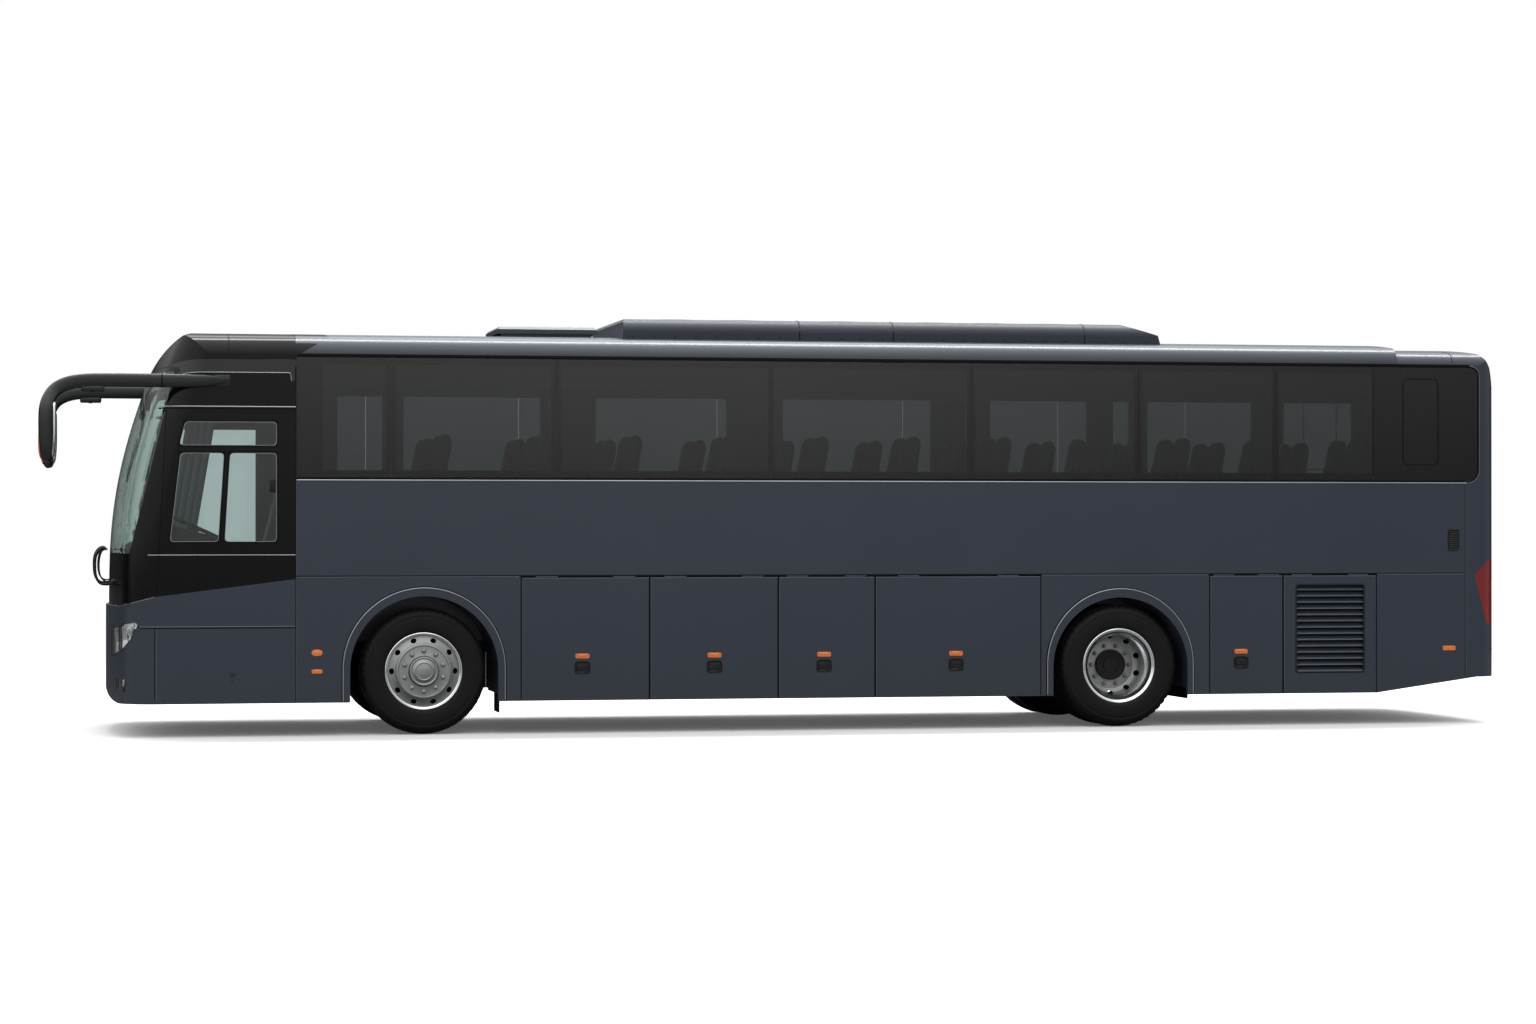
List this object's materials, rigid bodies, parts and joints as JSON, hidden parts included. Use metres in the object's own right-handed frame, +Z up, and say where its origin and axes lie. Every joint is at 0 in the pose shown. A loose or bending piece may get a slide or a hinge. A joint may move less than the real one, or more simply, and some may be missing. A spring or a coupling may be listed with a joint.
{
  "type": "coach bus",
  "caption": "Twelve metre touring coach with dark paint, tinted side glazing, roof air conditioner, luggage flaps, steered front wheels and twin rear wheels.",
  "frame": {"origin": "middle of the box at ground level, under the body", "axes": "+X towards the rear of the bus, +Y towards its right (door) side, +Z up"},
  "size_m": [12.541, 2.88, 3.48],
  "materials": {
    "body_paint": "satin dark slate grey paint",
    "black_paint": "gloss black paint",
    "frame_paint": "semi-matt chassis paint",
    "engine_iron": "rough cast",
    "tinted_glass": "dark tinted float glass",
    "clear_glass": "green tinted laminated glass",
    "lamp_glass": "clear lamp lens",
    "red_lamp": "gloss red lens",
    "wheel_alloy": "polished forged",
    "tyre": "moulded tread rubber",
    "black_plastic": "grained moulding",
    "grey_plastic": "grained moulding",
    "mudflap_rubber": "matt rubber",
    "seat_fabric": "woven moquette",
    "floor_covering": "sheet vinyl"
  },
  "bodies": {
    "root": {"windshield": "clear_glass", "front_mask": "black_paint", "front_cap": "black_paint", "front_panel": "body_paint", "bumper_front": "body_paint", "front_lamps": "lamp_glass", "entrance_door": "black_paint", "side_wall_left": "body_paint", "side_wall_right": "body_paint", "body_glass": "tinted_glass", "skirts": "body_paint", "roof_shell": "body_paint", "rear_panel": "body_paint", "tail_lamps": "red_lamp", "ac_unit": "body_paint", "chassis_front": "frame_paint", "chassis_rear": "frame_paint", "bay_frame": "frame_paint", "floor_deck": "floor_covering", "luggage_floor": "frame_paint", "engine_block": "engine_iron", "front_axle": "frame_paint", "rear_axle": "frame_paint", "seats": "seat_fabric", "dashboard": "grey_plastic", "steering_wheel": "black_plastic", "luggage_racks": "grey_plastic", "mirrors": "black_plastic", "wipers": "black_plastic", "mud_flaps": "mudflap_rubber"},
    "engine_lid_body": {"engine_lid": "body_paint"},
    "roof_hatch_body": {"roof_hatch": "black_plastic"},
    "knuckle_left_body": {"knuckle_left": "frame_paint"},
    "knuckle_right_body": {"knuckle_right": "frame_paint"},
    "wheel_front_left_body": {"wheel_front_left": "wheel_alloy", "tyre_front_left": "tyre"},
    "wheel_front_right_body": {"wheel_front_right": "wheel_alloy", "tyre_front_right": "tyre"},
    "wheels_rear_left_body": {"wheels_rear_left": "wheel_alloy", "tyres_rear_left": "tyre"},
    "wheels_rear_right_body": {"wheels_rear_right": "wheel_alloy", "tyres_rear_right": "tyre"},
    "luggage_door_left_1_body": {"luggage_door_left_1": "body_paint"},
    "luggage_door_right_1_body": {"luggage_door_right_1": "body_paint"},
    "luggage_door_left_2_body": {"luggage_door_left_2": "body_paint"},
    "luggage_door_right_2_body": {"luggage_door_right_2": "body_paint"},
    "luggage_door_left_3_body": {"luggage_door_left_3": "body_paint"},
    "luggage_door_right_3_body": {"luggage_door_right_3": "body_paint"},
    "luggage_door_left_4_body": {"luggage_door_left_4": "body_paint"},
    "luggage_door_right_4_body": {"luggage_door_right_4": "body_paint"},
    "service_door_left_body": {"service_door_left": "body_paint"},
    "service_door_right_body": {"service_door_right": "body_paint"},
    "engine_door_left_body": {"engine_door_left": "body_paint"},
    "engine_door_right_body": {"engine_door_right": "body_paint"}
  },
  "joints": [
    {"name": "luggage_door_left_1_hinge", "type": "hinge", "parent": "root", "child": "luggage_door_left_1_body", "pos_m": [-1.8245, -1.248, 1.296], "axis": [-1, 0, 0], "range_deg": [0, 95]},
    {"name": "luggage_door_right_1_hinge", "type": "hinge", "parent": "root", "child": "luggage_door_right_1_body", "pos_m": [-1.8245, 1.248, 1.296], "axis": [1, 0, 0], "range_deg": [0, 95]},
    {"name": "luggage_door_left_2_hinge", "type": "hinge", "parent": "root", "child": "luggage_door_left_2_body", "pos_m": [-0.7405, -1.248, 1.296], "axis": [-1, 0, 0], "range_deg": [0, 95]},
    {"name": "luggage_door_right_2_hinge", "type": "hinge", "parent": "root", "child": "luggage_door_right_2_body", "pos_m": [-0.7405, 1.248, 1.296], "axis": [1, 0, 0], "range_deg": [0, 95]},
    {"name": "luggage_door_left_3_hinge", "type": "hinge", "parent": "root", "child": "luggage_door_left_3_body", "pos_m": [0.2225, -1.248, 1.296], "axis": [-1, 0, 0], "range_deg": [0, 95]},
    {"name": "luggage_door_right_3_hinge", "type": "hinge", "parent": "root", "child": "luggage_door_right_3_body", "pos_m": [0.2225, 1.248, 1.296], "axis": [1, 0, 0], "range_deg": [0, 95]},
    {"name": "luggage_door_left_4_hinge", "type": "hinge", "parent": "root", "child": "luggage_door_left_4_body", "pos_m": [1.3645, -1.248, 1.296], "axis": [-1, 0, 0], "range_deg": [0, 95]},
    {"name": "luggage_door_right_4_hinge", "type": "hinge", "parent": "root", "child": "luggage_door_right_4_body", "pos_m": [1.3645, 1.248, 1.296], "axis": [1, 0, 0], "range_deg": [0, 95]},
    {"name": "service_door_left_hinge", "type": "hinge", "parent": "root", "child": "service_door_left_body", "pos_m": [3.9215, -1.248, 1.296], "axis": [-1, 0, 0], "range_deg": [0, 95]},
    {"name": "service_door_right_hinge", "type": "hinge", "parent": "root", "child": "service_door_right_body", "pos_m": [3.9215, 1.248, 1.296], "axis": [1, 0, 0], "range_deg": [0, 95]},
    {"name": "engine_door_left_hinge", "type": "hinge", "parent": "root", "child": "engine_door_left_body", "pos_m": [4.681, -1.248, 1.296], "axis": [-1, 0, 0], "range_deg": [0, 95]},
    {"name": "engine_door_right_hinge", "type": "hinge", "parent": "root", "child": "engine_door_right_body", "pos_m": [4.681, 1.248, 1.296], "axis": [1, 0, 0], "range_deg": [0, 95]},
    {"name": "engine_lid_hinge", "type": "hinge", "parent": "root", "child": "engine_lid_body", "pos_m": [6.2565, 0, 1.9535], "axis": [0, -1, 0], "range_deg": [0, 75]},
    {"name": "roof_hatch_hinge", "type": "hinge", "parent": "root", "child": "roof_hatch_body", "pos_m": [-1.6305, 0, 3.362], "axis": [0, 1, 0], "range_deg": [0, 25]},
    {"name": "steer_left", "type": "hinge", "parent": "root", "child": "knuckle_left_body", "pos_m": [-3.1595, -0.88, 0.522], "axis": [0, 0, 1], "range_deg": [-42, 42]},
    {"name": "wheel_front_left_spin", "type": "hinge", "parent": "knuckle_left_body", "child": "wheel_front_left_body", "pos_m": [-3.1595, -1.046, 0.522], "axis": [0, 1, 0], "continuous": true},
    {"name": "wheels_rear_left_spin", "type": "hinge", "parent": "root", "child": "wheels_rear_left_body", "pos_m": [2.7935, -0.905, 0.522], "axis": [0, 1, 0], "continuous": true},
    {"name": "steer_right", "type": "hinge", "parent": "root", "child": "knuckle_right_body", "pos_m": [-3.1595, 0.88, 0.522], "axis": [0, 0, 1], "range_deg": [-42, 42]},
    {"name": "wheel_front_right_spin", "type": "hinge", "parent": "knuckle_right_body", "child": "wheel_front_right_body", "pos_m": [-3.1595, 1.046, 0.522], "axis": [0, 1, 0], "continuous": true},
    {"name": "wheels_rear_right_spin", "type": "hinge", "parent": "root", "child": "wheels_rear_right_body", "pos_m": [2.7935, 0.905, 0.522], "axis": [0, 1, 0], "continuous": true}
  ],
  "couplings": [
    {"joint": "steer_right", "follows": "steer_left", "ratio": 1}
  ]
}
